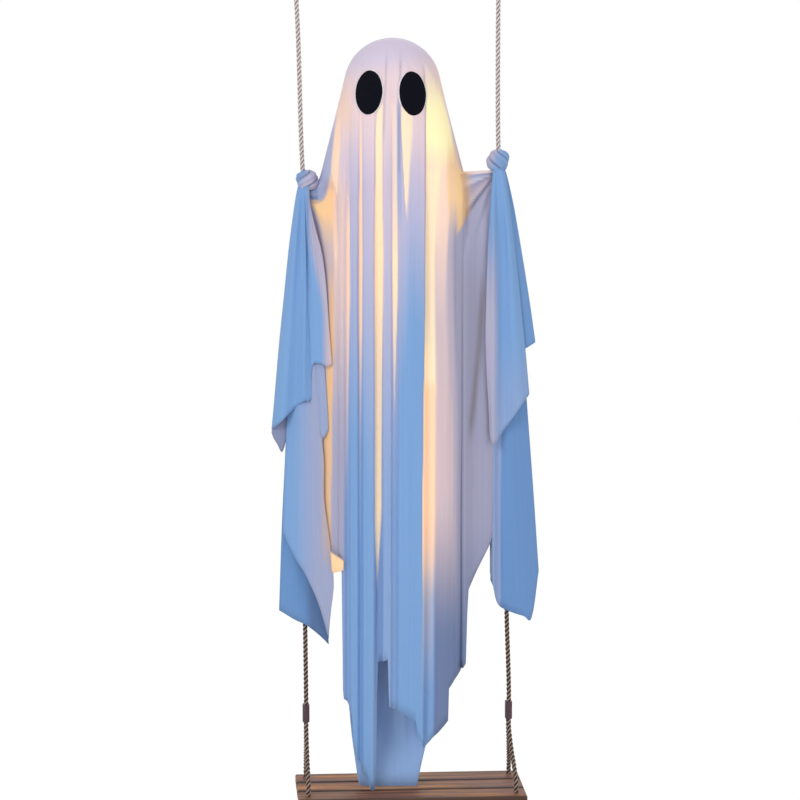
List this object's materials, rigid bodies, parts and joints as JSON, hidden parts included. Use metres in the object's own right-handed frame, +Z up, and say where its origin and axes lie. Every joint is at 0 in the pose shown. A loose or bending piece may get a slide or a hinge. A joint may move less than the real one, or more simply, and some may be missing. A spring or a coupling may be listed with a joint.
{
  "type": "hanging fabric ghost",
  "caption": "Sheet ghost with felt eyes, knotted by its hands to the ropes of a slatted wooden swing and lit from inside.",
  "frame": {"origin": "midway between the bearing points of the two hanging loops, level with them", "axes": "+Z up, the ghost faces -Y, +X to the viewer's right along the seat"},
  "size_m": [0.5407, 0.2, 1.7393],
  "materials": {
    "cloth": "thin plain-weave cloth",
    "felt": "felt",
    "rope": "three-strand twisted rope",
    "thread": "bound thread",
    "seat_wood": "stained, worn",
    "pale_wood": "plain dowel",
    "foam": "expanded foam",
    "light_strip": "diffuse",
    "box_plastic": "matte"
  },
  "bodies": {
    "root": {"ghost_sheet": "cloth", "eye_left": "felt", "eye_right": "felt", "rope_left": "rope", "rope_right": "rope", "whipping_left_top": "thread", "whipping_right_top": "thread", "whipping_left_low": "thread", "whipping_right_low": "thread", "slat_front": "seat_wood", "slat_middle": "seat_wood", "slat_rear": "seat_wood", "batten_left": "seat_wood", "batten_right": "seat_wood", "crossbar": "pale_wood", "upright": "pale_wood", "head_form": "foam", "light_strip_front": "light_strip", "light_strip_back": "light_strip", "battery_box": "box_plastic"}
  },
  "joints": []
}
